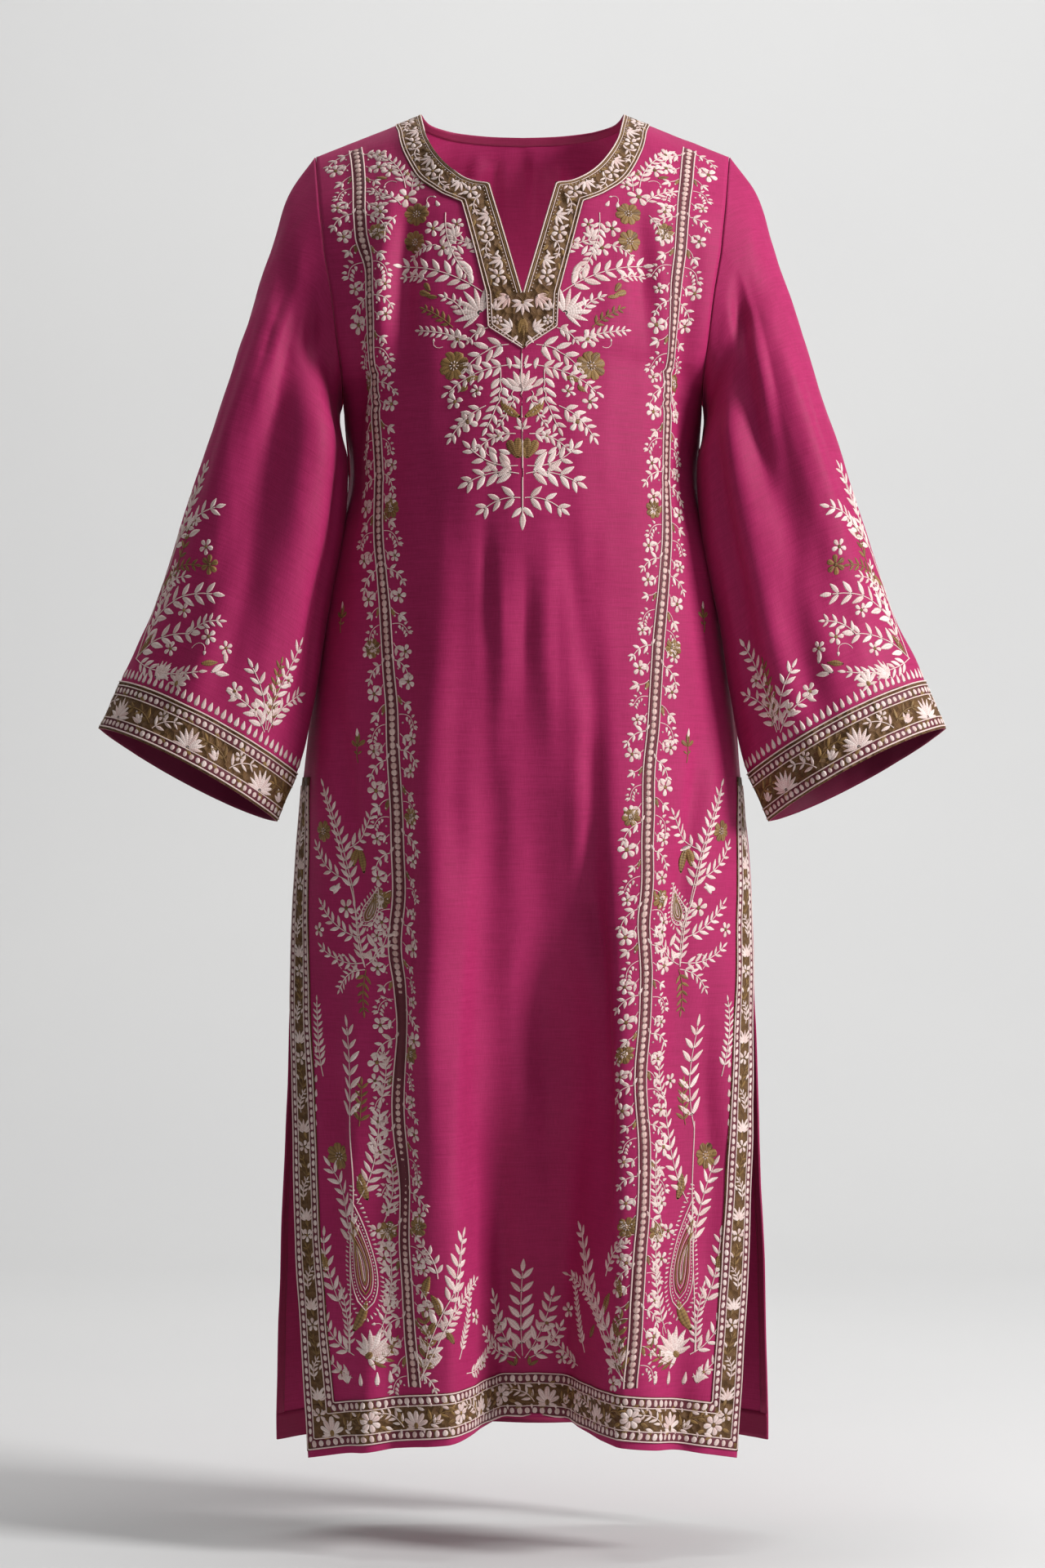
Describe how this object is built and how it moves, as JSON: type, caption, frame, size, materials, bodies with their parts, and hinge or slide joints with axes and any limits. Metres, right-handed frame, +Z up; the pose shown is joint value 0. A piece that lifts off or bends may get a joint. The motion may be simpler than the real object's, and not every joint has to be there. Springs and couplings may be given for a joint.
{
  "type": "kurta tunic",
  "caption": "Long embroidered kurta tunic with a notched round neck, flared three-quarter sleeves and open side slits, holding its worn hollow form",
  "frame": {"origin": "midway between the two points where the shoulder seams meet the neck, level with them, which is where the wearer's shoulders hold the garment", "axes": "+X to the wearer's left, +Y to the wearer's back, +Z up"},
  "size_m": [0.7614, 0.2499, 1.2072],
  "materials": {
    "cloth": "plain-woven magenta cotton-linen cloth with slubs, embroidered in cream and olive satin stitch",
    "embroidered_border": "olive-brown stitched ground with cream floral satin stitch between cream cords",
    "inner_turnings": "the same magenta cloth, seen on its wrong side, turned in and topstitched"
  },
  "bodies": {
    "root": {"front": "cloth", "back": "cloth", "sleeve_left": "cloth", "sleeve_right": "cloth", "neck_border": "embroidered_border", "hem_border": "embroidered_border", "slit_border_left": "embroidered_border", "slit_border_right": "embroidered_border", "cuff_border_left": "embroidered_border", "cuff_border_right": "embroidered_border", "back_neck_binding": "inner_turnings", "back_hem_turn_up": "inner_turnings", "slit_turn_in_left": "inner_turnings", "slit_turn_in_right": "inner_turnings"}
  },
  "joints": []
}
